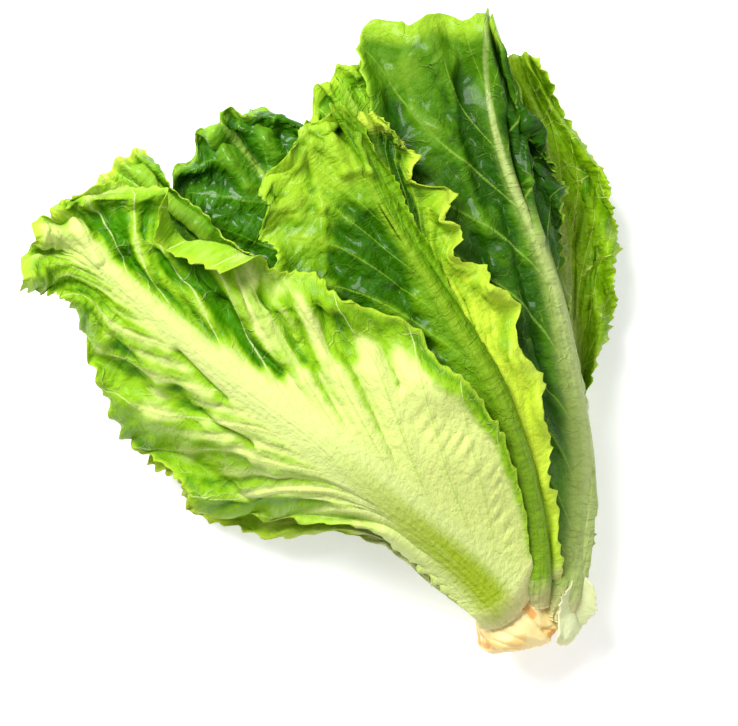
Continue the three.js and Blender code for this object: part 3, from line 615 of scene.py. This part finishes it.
def head_turned(points):
    """Points of the plan turned so that the head's axis is +Y."""
    cos, sin = math.cos(HEAD_TURN), math.sin(HEAD_TURN)
    turned = points.copy()
    turned[..., 0] = cos * points[..., 0] - sin * points[..., 1]
    turned[..., 1] = sin * points[..., 0] + cos * points[..., 1]
    return turned


def to_part(points):
    """From millimetres of the plan to metres of the part."""
    return head_turned(points) * MM + PLAN_PLACE


def mesh_object(name, vertices, quads, values, span, material, node):
    """A smooth mesh object at the origin that stands for one node of the solids, with its values as
    attributes and span as its UV map."""
    mesh = bpy.data.meshes.new(name)
    mesh.vertices.add(len(vertices))
    mesh.vertices.foreach_set("co", vertices.astype(np.float32).ravel())
    mesh.loops.add(quads.size)
    mesh.loops.foreach_set("vertex_index", quads.astype(np.int32).ravel())
    mesh.polygons.add(len(quads))
    mesh.polygons.foreach_set("loop_start", np.arange(0, quads.size, 4, dtype=np.int32))
    mesh.update(calc_edges=True)
    mesh.polygons.foreach_set("use_smooth", np.ones(len(quads), bool))
    for key, numbers in values.items():
        layer = mesh.attributes.new(key, "FLOAT", "POINT")
        layer.data.foreach_set("value", numbers.astype(np.float32).ravel())
    layer = mesh.uv_layers.new(name="span")
    layer.data.foreach_set("uv", span[quads.ravel()].astype(np.float32).ravel())
    mesh.materials.append(material)
    piece = bpy.data.objects.new(name, mesh)
    bpy.context.scene.collection.objects.link(piece)
    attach(piece, "root")
    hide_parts(node)
    return piece


def make_leaf(leaf, sizes):
    """A leaf as one closed mesh that stands for its solid, with a material of its own."""
    high, low, values, span = leaf_faces(leaf, sizes)
    vertices = np.concatenate([to_part(high).reshape(-1, 3), to_part(low).reshape(-1, 3)])
    doubled = {key: np.concatenate([numbers.ravel()] * 2) for key, numbers in values.items()}
    span = np.concatenate([span.reshape(-1, 2)] * 2)
    quads = closed_grid(*leaf.grid)
    material = leaf_material(leaf)
    return mesh_object("fine_" + leaf.name, vertices, quads, doubled, span, material, leaf.name)


# The stem

# Radius and place along the axis of the solid stem's outline, and the worn cut that the fine one starts with
STEM_OUTLINE = (
    *((0, -4), (15, -4), (17.5, -1)),
    *((STEM_RADIUS, 5), (17.5, 12), (15, 22), (10, 32), (5, 38), (0, 40)),
)
STEM_END_HOLE = 0.05  # radius of the holes that close_ends fills
STEM_ROWS = 150
STEM_COLUMNS = 160
STEM_PLACE = -3.0  # where the stem's middle is in the plan, both across and along
WORN_CUT = ((0, -4.4), (8, -4.4), (13.5, -3.4), (17, 0))


def stem_points(turn, outline):
    """The outline turned round the stem's axis, with three and five shallow knobs round it, in the plan."""
    radius, place = outline[:, 0][:, None], outline[:, 1][:, None] + 0 * turn[None, :]
    x, z = radius * np.sin(turn), radius * np.cos(turn)
    bearing = np.arctan2(z, x)
    knobs = 1 + 0.05 * np.sin(3 * bearing + 1) + 0.03 * np.sin(5 * bearing + place * 0.2)
    x, z = x * knobs, z * knobs
    cos, sin = math.cos(STEM_TURN), math.sin(STEM_TURN)
    x, y = cos * x - sin * place + STEM_PLACE, sin * x + cos * place + STEM_PLACE
    return np.stack([x, y, z + STEM_HEIGHT], axis=2)


def plan_place():
    """Where the plan's origin is in the part, in metres, so that this stem lies on the solid stem's box."""
    rough = stem_points(np.linspace(0, 2 * np.pi, 21), np.array(STEM_OUTLINE, float))
    low = head_turned(rough).reshape(-1, 3).min(axis=0) * MM
    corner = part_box("stem")[0]
    return np.array([corner[0] - low[0], corner[1] - low[1], 0.0])


PLAN_PLACE = plan_place()


def stem_outline_fine(steps):
    """The fine stem's outline as a smooth curve through the solid's, with its cut edge worn round."""
    fine = through(WORN_CUT + STEM_OUTLINE[3:], np.linspace(0, 1, steps))
    fine[:, 0] = np.maximum(fine[:, 0], 0.0)
    fine[[0, -1], 0] = STEM_END_HOLE
    return fine


def make_stem():
    """The cut stem: its outline turned round the axis and moved along its normals by noise, which makes it
    rough, and by the scars of pulled leaves, which sink in."""
    outline = stem_outline_fine(STEM_ROWS)
    turn = np.linspace(0, 2 * np.pi, STEM_COLUMNS + 1)[:-1]
    points = stem_points(turn, outline)
    centre = np.array([STEM_PLACE, STEM_PLACE, STEM_HEIGHT])
    grid_t, grid_a = np.meshgrid(np.linspace(0, 1, STEM_ROWS), turn, indexing="ij")
    around = np.cos(grid_a), np.sin(grid_a)
    rough = noise_sheet(3.2 * around[0] + 20, 3.2 * around[1] + 14 * grid_t + 20, 5)
    rough += 0.6 * noise_sheet(8 * around[0] + 20, 8 * around[1] + 30 * grid_t + 20, 6)
    scars = smooth(noise_sheet(2.2 * around[0] + 31, 2.2 * around[1] + 9 * grid_t + 31, 9), 0.15, 0.5)
    normal = -grid_normals(np.concatenate([points, points[:, :1]], axis=1))[:, :-1]
    outward = np.sign(np.sum(normal * (points - centre), axis=2, keepdims=True))
    push = (0.45 * rough - 0.9 * scars) * smooth(outline[:, 0][:, None], 1, 6)
    points = points + normal * np.where(outward == 0, 1, outward) * push[..., None]
    number = np.arange(points.shape[0] * points.shape[1]).reshape(points.shape[:2])
    right = np.roll(number, -1, axis=1)
    quads = np.stack([number[:-1], right[:-1], right[1:], number[1:]], axis=-1).reshape(-1, 4)
    vertices = to_part(points).reshape(-1, 3)
    values = {"scar": scars, "rough": rough, "along": grid_t}
    span = np.stack([grid_t, grid_a / 6.3], axis=2).reshape(-1, 2)
    stem = mesh_object("fine_stem", vertices, quads, values, span, stem_material(), "stem")
    close_ends(stem.data)
    return stem


def close_ends(mesh):
    """Closes the two small holes at the ends of the lathe and turns every face outwards."""
    work = bmesh.new()
    work.from_mesh(mesh)
    bmesh.ops.holes_fill(work, edges=[edge for edge in work.edges if edge.is_boundary], sides=0)
    bmesh.ops.recalc_face_normals(work, faces=work.faces)
    work.to_mesh(mesh)
    work.free()
    mesh.polygons.foreach_set("use_smooth", np.ones(len(mesh.polygons), bool))


# Materials


class Nodes:
    """Short ways to add and join the nodes of one tree."""

    def __init__(self, tree):
        self.tree = tree

    def add(self, kind, **settings):
        made = self.tree.nodes.new(kind)
        for key, value in settings.items():
            setattr(made, key, value)
        return made

    def feed(self, socket, value):
        if isinstance(value, bpy.types.NodeSocket):
            self.tree.links.new(value, socket)
        elif value is not None:
            socket.default_value = value

    def math(self, operation, a, b=None, c=None):
        made = self.add("ShaderNodeMath", operation=operation)
        for socket, value in zip(made.inputs, (a, b, c)):
            self.feed(socket, value)
        return made.outputs[0]

    def ramp(self, value, low, high, to_low=0.0, to_high=1.0):
        values = {"Value": value, "From Min": low, "From Max": high, "To Min": to_low, "To Max": to_high}
        return self.filled("ShaderNodeMapRange", values, interpolation_type="SMOOTHSTEP").outputs[0]

    def blend(self, share, a, b):
        return self.filled("ShaderNodeMix", {0: share, 6: a, 7: b}, data_type="RGBA").outputs[2]

    def noise(self, vector, scale, detail=2.0):
        values = {"Vector": vector, "Scale": scale, "Detail": detail}
        return self.filled("ShaderNodeTexNoise", values).outputs["Fac"]

    def attribute(self, name):
        return self.add("ShaderNodeAttribute", attribute_name=name).outputs["Fac"]

    def times(self, a, b):
        return self.math("MULTIPLY", a, b)

    def times_plus(self, a, b, c):
        return self.math("MULTIPLY_ADD", a, b, c)

    def filled(self, kind, values, **settings):
        """A node with values or links in its sockets, by their labels or numbers."""
        made = self.add(kind, **settings)
        for label, value in values.items():
            self.feed(made.inputs[label], value)
        return made

    def finish(self, shader):
        """Joins a shader to the material's output."""
        self.filled("ShaderNodeOutputMaterial", {"Surface": shader.outputs[0]})


def new_material(name):
    """A material with no nodes yet, and its Nodes."""
    material = bpy.data.materials.new(name)
    material.use_nodes = True
    material.node_tree.nodes.clear()
    return material, Nodes(material.node_tree)


def new_group(name, inputs, outputs):
    """A shader node group with the named inputs (name, kind, default) and outputs (name, kind)."""
    tree = bpy.data.node_groups.new(name, "ShaderNodeTree")
    for label, kind, default in inputs:
        socket = tree.interface.new_socket(label, in_out="INPUT", socket_type=kind)
        if default is not None:
            socket.default_value = default
    for label, kind in outputs:
        tree.interface.new_socket(label, in_out="OUTPUT", socket_type=kind)
    nodes = Nodes(tree)
    return tree, nodes, nodes.add("NodeGroupInput").outputs, nodes.add("NodeGroupOutput").inputs


FLOAT, COLOUR, VECTOR = "NodeSocketFloat", "NodeSocketColor", "NodeSocketVector"
NET_CELLS = {"feature": "DISTANCE_TO_EDGE", "voronoi_dimensions": "2D"}


def vein_group():
    """Veins of a leaf: side veins where Turn is whole, and a net between them that fades in from the rib."""
    if "Leaf veins" in bpy.data.node_groups:
        return bpy.data.node_groups["Leaf veins"]
    tree, n, given, out = new_group(
        "Leaf veins",
        [("Span", VECTOR, None), ("Turn", FLOAT, 0.0), ("Edge", FLOAT, 0.0), ("Width", FLOAT, 0.1)],
        [("Side veins", FLOAT), ("Net", FLOAT), ("Fine net", FLOAT)],
    )
    place = n.math("FRACT", given["Turn"])
    crest = n.math("ABSOLUTE", n.times_plus(place, 2.0, -1.0))
    thin = n.times(given["Width"], n.times_plus(given["Edge"], -0.6, 1.0))
    side = n.ramp(crest, n.math("SUBTRACT", 1.0, thin), 1.0)
    n.feed(out["Side veins"], side)
    wobble = n.filled("ShaderNodeTexNoise", {"Vector": given["Span"], "Scale": 9.0})
    shift = {0: wobble.outputs["Color"], 1: (0.11, 0.11, 0.0), 2: given["Span"]}
    shifted = n.filled("ShaderNodeVectorMath", shift, operation="MULTIPLY_ADD").outputs[0]
    for label, scale, line in (("Net", 10.0, 0.05), ("Fine net", 26.0, 0.06)):
        cells = n.filled("ShaderNodeTexVoronoi", {"Vector": shifted}, **NET_CELLS)
        cells.inputs["Scale"].default_value = scale
        line_mask = n.ramp(cells.outputs["Distance"], 0.0, line, 1.0, 0.0)
        n.feed(out[label], n.times(line_mask, n.ramp(wobble.outputs["Fac"], 0.4, 0.62)))
    return tree


def tint_group():
    """Colour of a leaf from its parts: the blade darkens away from the rib and in its folds, where the
    darkness is partly painted shade, veins and the rib are pale, and the margin is bright, partly painted
    light through the thin edge."""
    if "Leaf tint" in bpy.data.node_groups:
        return bpy.data.node_groups["Leaf tint"]
    colours = ("Near rib", "Blade", "Folds and shade", "Veins", "Rib", "Rib flank", "Margin", "Base")
    masks = ("Tone", "Along", "Edge", "Rib mask", "Side veins", "Net", "Fine net", "Patches", "Streaks")
    tree, n, given, out = new_group(
        "Leaf tint",
        [(label, COLOUR, (0.5, 0.5, 0.5, 1)) for label in colours]
        + [(label, FLOAT, 0.0) for label in masks]
        + [("Core reach", FLOAT, 0.5), ("Vein strength", FLOAT, 0.6)]
        + [("Net strength", FLOAT, 0.3), ("Margin width", FLOAT, 0.06)],
        [("Color", COLOUR)],
    )
    tone = n.times_plus(n.math("SUBTRACT", given["Patches"], 0.5), 0.5, given["Tone"])
    blade = n.blend(n.ramp(tone, -0.05, 0.5), given["Near rib"], given["Blade"])
    # Darkest green where the tone is high: partly the folds' own deeper green, partly painted shade
    blade = n.blend(n.ramp(tone, 0.45, 1.0), blade, given["Folds and shade"])
    fine = n.times(given["Fine net"], n.times(given["Net strength"], 0.4))
    net = n.math("MAXIMUM", n.times(given["Net"], given["Net strength"]), fine)
    net = n.math("MAXIMUM", net, given["Side veins"])
    shown = n.times(n.times(net, given["Vein strength"]), n.ramp(tone, 0.1, 0.5))
    blade = n.blend(shown, blade, given["Veins"])
    faint = n.times(given["Side veins"], n.ramp(tone, 0.3, 0.0, 0.0, 0.4))
    blade = n.blend(faint, blade, given["Blade"])
    # Bright margin: partly its own paler edge, partly painted light standing in for light shining through the
    # thin edge
    bright = n.ramp(given["Edge"], n.math("SUBTRACT", 1.0, given["Margin width"]), 1.0)
    blade = n.blend(n.times(bright, 0.9), blade, given["Margin"])
    flank = n.ramp(given["Rib mask"], 0.02, 0.5)
    blade = n.blend(n.times(flank, n.ramp(given["Along"], 1.0, 0.3)), blade, given["Rib flank"])
    past = n.math("SUBTRACT", given["Along"], given["Core reach"])
    core = n.times(n.ramp(given["Rib mask"], 0.5, 0.98), n.ramp(past, 0.2, -0.1))
    blade = n.blend(core, blade, given["Rib"])
    streak = n.times(n.ramp(given["Streaks"], 0.5, 0.75), n.times(flank, 0.3))
    blade = n.blend(streak, blade, given["Rib flank"])
    base = n.ramp(n.times_plus(given["Patches"], 0.05, given["Along"]), 0.1, 0.02)
    n.feed(out["Color"], n.blend(base, blade, given["Base"]))
    return tree


# How each kind of leaf is finished: how far up the rib keeps its own colour, the veins' strength, the bright
# margin's width, roughness, coat, and the share of light that comes through
FINISHES = {
    "front_left": (0.27, 0.75, 0.05, 0.42, 0.12, 0.22),
    "front_right": (0.9, 0.6, 0.05, 0.34, 0.25, 0.16),
    "front_middle": (0.9, 0.55, 0.06, 0.3, 0.3, 0.18),
    "curled_edge": (0.5, 0.4, 0.3, 0.36, 0.2, 0.25),
    "back_left": (0.9, 0.5, 0.05, 0.22, 0.5, 0.18),
    "back_right": (0.9, 0.7, 0.05, 0.36, 0.2, 0.25),
    "back_middle": (0.9, 0.6, 0.05, 0.22, 0.5, 0.12),
    "heart": (0.5, 0.6, 0.06, 0.4, 0.15, 0.25),
    "far_right": (0.8, 0.95, 0.08, 0.4, 0.15, 0.25),
    "low_left": (0.4, 0.7, 0.08, 0.42, 0.12, 0.25),
    "under": (0.4, 0.6, 0.06, 0.42, 0.12, 0.2),
    "stub": (0.5, 0.5, 0.1, 0.5, 0.05, 0.15),
}

# How strongly the net of fine veins shows, where it differs from PLAIN_NET
NET_STRENGTH = {"far_right": 0.95, "back_left": 0.6, "back_middle": 0.6, "front_right": 0.45}
PLAIN_NET = 0.35


def leaf_material(leaf):
    """A leaf's finish: tinted by its parts, with its veins and fine grain as bump, a soft gloss, and some
    light let through the blade."""
    material, n = new_material("finish_" + leaf.look + "_" + leaf.name)
    reach, strength, margin, roughness, coat, through_share = FINISHES[leaf.look]
    span = n.add("ShaderNodeUVMap", uv_map="span").outputs["UV"]
    parts = {key: n.attribute(key) for key in ("turn", "tone", "rib", "edge", "along")}

    given = {"Span": span, "Turn": parts["turn"], "Edge": parts["edge"], "Width": 0.09}
    veins = n.filled("ShaderNodeGroup", given, node_tree=vein_group())

    stretch = {0: span, 1: (2.5, 70.0, 1.0)}
    stretched = n.filled("ShaderNodeVectorMath", stretch, operation="MULTIPLY")
    streaks = n.noise(stretched.outputs[0], 1.0, 3.0)
    patches = n.times_plus(n.noise(span, 24.0, 3.0), 0.8, n.times(n.noise(span, 7.0, 3.0), 0.7))
    patches = n.math("SUBTRACT", patches, 0.25)

    given = {label: hex_colour(text) for label, text in zip(TINTED_PARTS, LOOKS[leaf.look])}
    given["Blade"] = (*getattr(bpy.context.scene.lettuce_colours, leaf.look), 1)
    given |= {
        "Base": hex_colour(BASE_COLOUR),
        "Along": parts["along"],
        "Edge": parts["edge"],
        "Tone": parts["tone"],
        "Rib mask": parts["rib"],
        "Side veins": veins.outputs["Side veins"],
        "Net": veins.outputs["Net"],
        "Fine net": veins.outputs["Fine net"],
        "Patches": patches,
        "Streaks": streaks,
        "Core reach": reach,
        "Vein strength": strength,
        "Net strength": NET_STRENGTH.get(leaf.look, PLAIN_NET),
        "Margin width": margin,
    }
    tint = n.filled("ShaderNodeGroup", given, node_tree=tint_group())

    grain = n.noise(span, 160.0, 2.0)
    crinkle = n.noise(span, 38.0, 3.0)
    quilting = n.times(n.noise(span, 15.0, 2.0), n.ramp(parts["tone"], 0.0, 0.5, 0.3, 1.6))
    height = n.times_plus(crinkle, 0.6, n.times_plus(grain, 0.14, quilting))
    leafy = n.ramp(parts["tone"], 0.1, 0.6)
    height = n.times_plus(n.times(veins.outputs["Net"], leafy), 0.25, height)
    height = n.times_plus(n.times(veins.outputs["Fine net"], leafy), 0.12, height)
    height = n.times_plus(streaks, n.times(parts["rib"], 0.5), height)
    bump_strength = 0.25 if leaf.look == "stub" else 0.8
    given = {"Strength": bump_strength, "Distance": 0.0022, "Height": height}
    normal = n.filled("ShaderNodeBump", given).outputs["Normal"]

    given = {
        "Base Color": tint.outputs["Color"],
        "Roughness": n.ramp(crinkle, 0.3, 0.7, roughness - 0.06, roughness + 0.14),
        "Coat Weight": 0.6 * coat,
        "Coat Roughness": 0.14,
        "Specular IOR Level": 0.08,
        "Normal": normal,
    }
    shader = n.filled("ShaderNodeBsdfPrincipled", given)
    thin = n.filled("ShaderNodeBsdfTranslucent", {"Color": tint.outputs["Color"], "Normal": normal})
    given = {0: through_share, 1: shader.outputs[0], 2: thin.outputs[0]}
    n.finish(n.filled("ShaderNodeMixShader", given))
    return material


def stem_material():
    """Creamy cut flesh, with fibres, and orange-brown where it has dried along the scars."""
    colours = bpy.context.scene.lettuce_colours
    material, n = new_material("finish_cut_stem")
    place = n.add("ShaderNodeTexCoord").outputs["Object"]
    scar, rough, along = (n.attribute(key) for key in ("scar", "rough", "along"))
    blotch = n.noise(place, 90.0, 4.0)
    fleck = n.noise(place, 260.0, 3.0)
    cream = n.blend(n.ramp(blotch, 0.35, 0.65), (*colours.stem_cream, 1), hex_colour("eed890"))
    greenish = n.blend(n.ramp(along, 0.45, 0.75), cream, hex_colour("e9eaa4"))
    dried = n.times(n.ramp(scar, 0.2, 0.8), n.ramp(fleck, 0.36, 0.56))
    flesh = n.blend(n.times(dried, 0.85), greenish, (*colours.stem_brown, 1))
    dots = n.times(n.ramp(blotch, 0.56, 0.68), 0.6)
    flesh = n.blend(dots, flesh, hex_colour("e2b060"))
    height = n.times_plus(fleck, 0.6, n.times(rough, 0.4))
    bump = n.filled("ShaderNodeBump", {"Strength": 0.6, "Distance": 0.001, "Height": height})
    given = {
        "Base Color": flesh,
        "Roughness": n.ramp(fleck, 0.3, 0.7, 0.4, 0.62),
        "Specular IOR Level": 0.4,
        "Normal": bump.outputs["Normal"],
    }
    n.finish(n.filled("ShaderNodeBsdfPrincipled", given))
    return material


def floor_material():
    """Plain near-white paper."""
    material, n = new_material("finish_floor")
    given = {"Base Color": (0.93, 0.93, 0.93, 1), "Roughness": 0.9, "Specular IOR Level": 0.0}
    given |= {"Emission Color": (1, 1, 1, 1), "Emission Strength": 0.36}
    n.finish(n.filled("ShaderNodeBsdfPrincipled", given))
    return material


# The stage


def pixel_place(pixel, height):
    """The part's place, in metres, under a pixel of the photograph."""
    x = (pixel[0] - PLAN_ORIGIN_PIXEL[0]) * PIXEL
    y = (PLAN_ORIGIN_PIXEL[1] - pixel[1]) * PIXEL
    return to_part(np.array([x, y, height], float))


def make_camera():
    """Looks straight down on the head with a long lens, turned so that the photograph's up is up."""
    data = bpy.data.cameras.new("camera")
    data.sensor_width = 36.0
    data.lens = data.sensor_width * CAMERA_HEIGHT / (FRAME_PIXELS[0] * PIXEL)
    data.clip_end = 50.0
    camera = bpy.data.objects.new("camera", data)
    middle = (FRAME_PIXELS[0] / 2, FRAME_PIXELS[1] / 2)
    camera.location = pixel_place(middle, FOCUS_HEIGHT + CAMERA_HEIGHT)
    camera.rotation_euler = (0.0, 0.0, HEAD_TURN)
    bpy.context.scene.collection.objects.link(camera)
    bpy.context.scene.camera = camera


def area_light(name, bearing, elevation, distance, size, power):
    """A square soft light that faces the head, placed by its bearing in the photograph: 0 is up, and it
    grows clockwise."""
    data = bpy.data.lights.new(name, "AREA")
    data.size = size
    data.energy = power
    light = bpy.data.objects.new(name, data)
    turn = math.radians(bearing) - HEAD_TURN
    flat = distance * math.cos(math.radians(elevation))
    rise = distance * math.sin(math.radians(elevation))
    light.location = (flat * math.sin(turn), flat * math.cos(turn), 0.05 + rise)
    light.rotation_euler = (math.radians(90 - elevation), 0.0, math.pi - turn)
    bpy.context.scene.collection.objects.link(light)


def make_floor():
    """A wide square of plain paper that the head lies on."""
    half = 6.0
    mesh = bpy.data.meshes.new("floor")
    corners = [(-half, -half, 0), (half, -half, 0), (half, half, 0), (-half, half, 0)]
    mesh.from_pydata(corners, [], [(0, 1, 2, 3)])
    mesh.materials.append(floor_material())
    floor = bpy.data.objects.new("floor", mesh)
    bpy.context.scene.collection.objects.link(floor)


def make_world():
    """Even white light from all sides."""
    world = bpy.data.worlds.new("studio")
    world.use_nodes = True
    back = world.node_tree.nodes["Background"]
    back.inputs["Color"].default_value = (1.0, 1.0, 1.0, 1.0)
    back.inputs["Strength"].default_value = 0.43
    bpy.context.scene.world = world
    bpy.context.scene.view_settings.view_transform = "Standard"


# The add-on


class LettuceSizes(bpy.types.PropertyGroup):
    """Sizes of the fine leaves."""

    blade: FloatProperty(
        name="Blade", description="Thickness of a leaf blade in mm", default=0.6, min=0.2, max=2
    )
    vein_height: FloatProperty(
        name="Veins", description="Height of the side veins in mm", default=0.8, min=0, max=3
    )
    frill: FloatProperty(
        name="Frill", description="Height of the frills as a share of the usual", default=1.0, min=0, max=3
    )
    tooth: FloatProperty(
        name="Teeth", description="Length of the margin's teeth in mm", default=2.8, min=0, max=6
    )


def colour_property(name, description, default):
    return FloatVectorProperty(
        name=name, description=description, subtype="COLOR", default=default, min=0, max=1
    )


class LettuceColours(bpy.types.PropertyGroup):
    """The blade colour of each kind of leaf, and the colours of the cut stem."""

    __annotations__ = {
        look: colour_property(look.replace("_", " ").capitalize(), "Blade colour", hex_colour(texts[1])[:3])
        for look, texts in LOOKS.items()
    }
    stem_cream: colour_property("Stem", "Flesh of the cut stem", (0.92, 0.72, 0.34))
    stem_brown: colour_property("Dried cut", "Dried scars of the stem", (0.78, 0.36, 0.07))


def build_leaves(names, context):
    """Builds the named leaves in order."""
    for name in names:
        make_leaf(LEAF_OF[name], context.scene.lettuce_sizes)
    return {"FINISHED"}


class LETTUCE_OT_stem(bpy.types.Operator):
    """Build the cut stem"""

    bl_idname = "lettuce.stem"
    bl_label = "Cut stem"

    def execute(self, context):
        make_stem()
        return {"FINISHED"}


class LETTUCE_OT_front_leaves(bpy.types.Operator):
    """Build the four leaves that lie on top"""

    bl_idname = "lettuce.front_leaves"
    bl_label = "Front leaves"

    def execute(self, context):
        return build_leaves(FRONT_LEAVES, context)


class LETTUCE_OT_back_leaves(bpy.types.Operator):
    """Build the leaves whose tips show between and beside the front ones"""

    bl_idname = "lettuce.back_leaves"
    bl_label = "Back leaves"

    def execute(self, context):
        return build_leaves(BACK_LEAVES, context)


class LETTUCE_OT_heart_leaves(bpy.types.Operator):
    """Build the two heart leaves"""

    bl_idname = "lettuce.heart_leaves"
    bl_label = "Heart leaves"

    def execute(self, context):
        return build_leaves(HEART_LEAVES, context)


class LETTUCE_OT_under_leaves(bpy.types.Operator):
    """Build the leaves that the head lies on"""

    bl_idname = "lettuce.under_leaves"
    bl_label = "Under leaves"

    def execute(self, context):
        return build_leaves(UNDER_LEAVES, context)


class LETTUCE_OT_stub(bpy.types.Operator):
    """Build the pale scale of a broken leaf beside the stem"""

    bl_idname = "lettuce.stub"
    bl_label = "Leaf stub"

    def execute(self, context):
        return build_leaves(("leaf_stub",), context)


class LETTUCE_OT_stage(bpy.types.Operator):
    """Build the floor, the soft lights and the camera"""

    bl_idname = "lettuce.stage"
    bl_label = "Stage"

    def execute(self, context):
        make_floor()
        make_world()
        area_light("key", bearing=-40, elevation=52, distance=1.6, size=0.8, power=44)
        area_light("fill", bearing=110, elevation=35, distance=2.0, size=1.4, power=9)
        make_camera()
        return {"FINISHED"}


class LETTUCE_PT_panel(bpy.types.Panel):
    """Sizes and colours of the head, and a button for each group of pieces"""

    bl_label = "Romaine lettuce"
    bl_space_type = "VIEW_3D"
    bl_region_type = "UI"
    bl_category = "Lettuce"

    def draw(self, context):
        for group in (context.scene.lettuce_sizes, context.scene.lettuce_colours):
            for key in group.__annotations__:
                self.layout.prop(group, key)
        for operator in OPERATORS:
            self.layout.operator(operator.bl_idname)


OPERATORS = (
    LETTUCE_OT_stem,
    LETTUCE_OT_front_leaves,
    LETTUCE_OT_back_leaves,
    LETTUCE_OT_heart_leaves,
    LETTUCE_OT_under_leaves,
    LETTUCE_OT_stub,
    LETTUCE_OT_stage,
)
CLASSES = (LettuceSizes, LettuceColours, *OPERATORS, LETTUCE_PT_panel)


def register():
    """Makes the classes and their settings known to Blender."""
    for each in CLASSES:
        bpy.utils.register_class(each)
    bpy.types.Scene.lettuce_sizes = PointerProperty(type=LettuceSizes)
    bpy.types.Scene.lettuce_colours = PointerProperty(type=LettuceColours)


def unregister():
    """Takes back what register did."""
    del bpy.types.Scene.lettuce_colours
    del bpy.types.Scene.lettuce_sizes
    for each in reversed(CLASSES):
        bpy.utils.unregister_class(each)


def main():
    """Builds the whole scene in order."""
    register()
    bpy.ops.lettuce.stem()
    bpy.ops.lettuce.front_leaves()
    bpy.ops.lettuce.back_leaves()
    bpy.ops.lettuce.heart_leaves()
    bpy.ops.lettuce.under_leaves()
    bpy.ops.lettuce.stub()
    bpy.ops.lettuce.stage()


if __name__ == "__main__":
    main()
